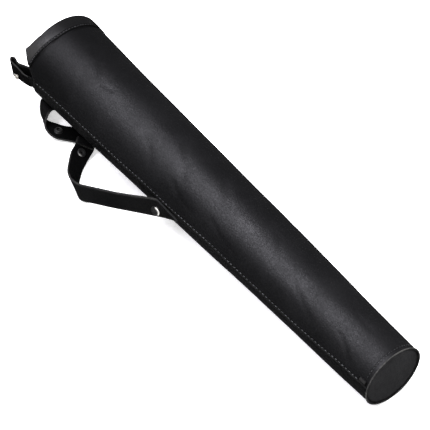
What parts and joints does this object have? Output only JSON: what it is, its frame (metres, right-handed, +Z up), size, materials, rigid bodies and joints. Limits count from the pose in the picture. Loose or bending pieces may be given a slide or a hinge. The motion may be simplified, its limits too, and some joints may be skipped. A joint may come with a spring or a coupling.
{
  "type": "back quiver",
  "caption": "Tapered leather arrow quiver with an open bound mouth, a sewn lap seam, a closed base, a riveted loop at the mouth and a two-piece snap strap.",
  "frame": {"origin": "centre of the bounding box in X and Y, on the floor it lies on", "axes": "+X from the open mouth to the closed base along the tube, +Z up, -Y towards the side with the lap seam and the straps"},
  "size_m": [0.6382, 0.1509, 0.1126],
  "materials": {
    "body_leather": "smooth black leather, low sheen",
    "band_leather": "thin black binding leather, satin",
    "base_leather": "dark grey leather, matte",
    "strap_leather": "black strap leather, smooth outside, suede inside",
    "seam_patch": "black leather, glossy",
    "raw_edge": "cut leather edge, light grey",
    "thread": "grey-black waxed thread",
    "nickel": "bright nickel, warm white",
    "gunmetal": "dark nickel"
  },
  "bodies": {
    "quiver": {"body_panel": "body_leather", "seam_thread": "thread", "seam_end_patch": "seam_patch", "mouth_band": "band_leather", "mouth_band_thread": "thread", "base_cup": "base_leather", "base_welt": "raw_edge", "base_thread": "thread", "mouth_loop_root": "strap_leather", "upper_strap_root": "strap_leather"},
    "mouth_loop": {"mouth_loop": "strap_leather", "mouth_rivet_cap": "nickel", "mouth_rivet_back": "nickel"},
    "upper_strap": {"upper_strap": "strap_leather", "upper_snap_cap": "gunmetal", "upper_snap_socket": "gunmetal"},
    "lower_strap": {"lower_strap": "strap_leather", "lower_strap_return": "strap_leather", "lower_rivet_cap": "nickel", "lower_rivet_back": "nickel", "lower_snap_stud": "gunmetal", "lower_snap_eyelet": "gunmetal"}
  },
  "joints": [
    {"name": "mouth_loop_flex", "type": "hinge", "parent": "quiver", "child": "mouth_loop", "pos_m": [-0.2806, -0.0313, 0.0411], "axis": [0, 0, 1], "range_deg": [-15, 50]},
    {"name": "upper_strap_flex", "type": "hinge", "parent": "quiver", "child": "upper_strap", "pos_m": [-0.2554, -0.0264, 0.0194], "axis": [-0.9739, 0.048, -0.222], "range_deg": [0, 60]},
    {"name": "lower_strap_flex", "type": "hinge", "parent": "quiver", "child": "lower_strap", "pos_m": [-0.0146, -0.0314, 0.0521], "axis": [-1, 0, 0], "range_deg": [0, 85]}
  ]
}
